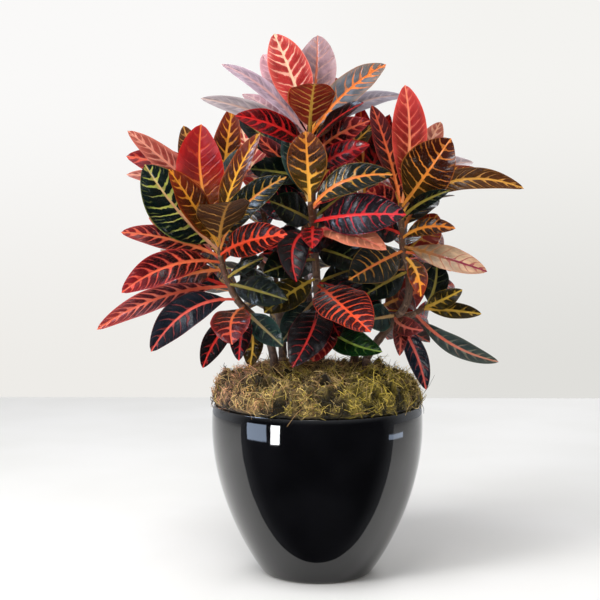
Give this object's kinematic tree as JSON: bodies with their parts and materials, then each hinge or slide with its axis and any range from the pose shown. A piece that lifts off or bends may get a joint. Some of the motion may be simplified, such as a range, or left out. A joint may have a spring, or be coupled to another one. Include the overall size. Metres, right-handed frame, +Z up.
{
  "type": "potted croton",
  "caption": "Potted croton: leafy stems with broad, brightly veined leaves in a tall rounded black glazed pot, with potting soil and a moss mat.",
  "frame": {"origin": "centre of the pot's flat underside, on the surface that it stands on", "axes": "+Z up along the pot's axis, -Y towards the viewer of the picture, +X to the viewer's right"},
  "size_m": [0.5582, 0.4317, 0.728],
  "materials": {
    "glaze": "gloss",
    "soil": "matte",
    "moss": "matte",
    "foliage": "satin"
  },
  "bodies": {
    "root": {"pot": "glaze", "potting_soil": "soil", "moss": "moss", "leafy_stem_centre": "foliage", "leafy_stem_left": "foliage", "leafy_stem_right": "foliage", "leafy_stem_back_left": "foliage", "leafy_stem_back_right": "foliage", "leafy_stem_back": "foliage"}
  },
  "joints": []
}
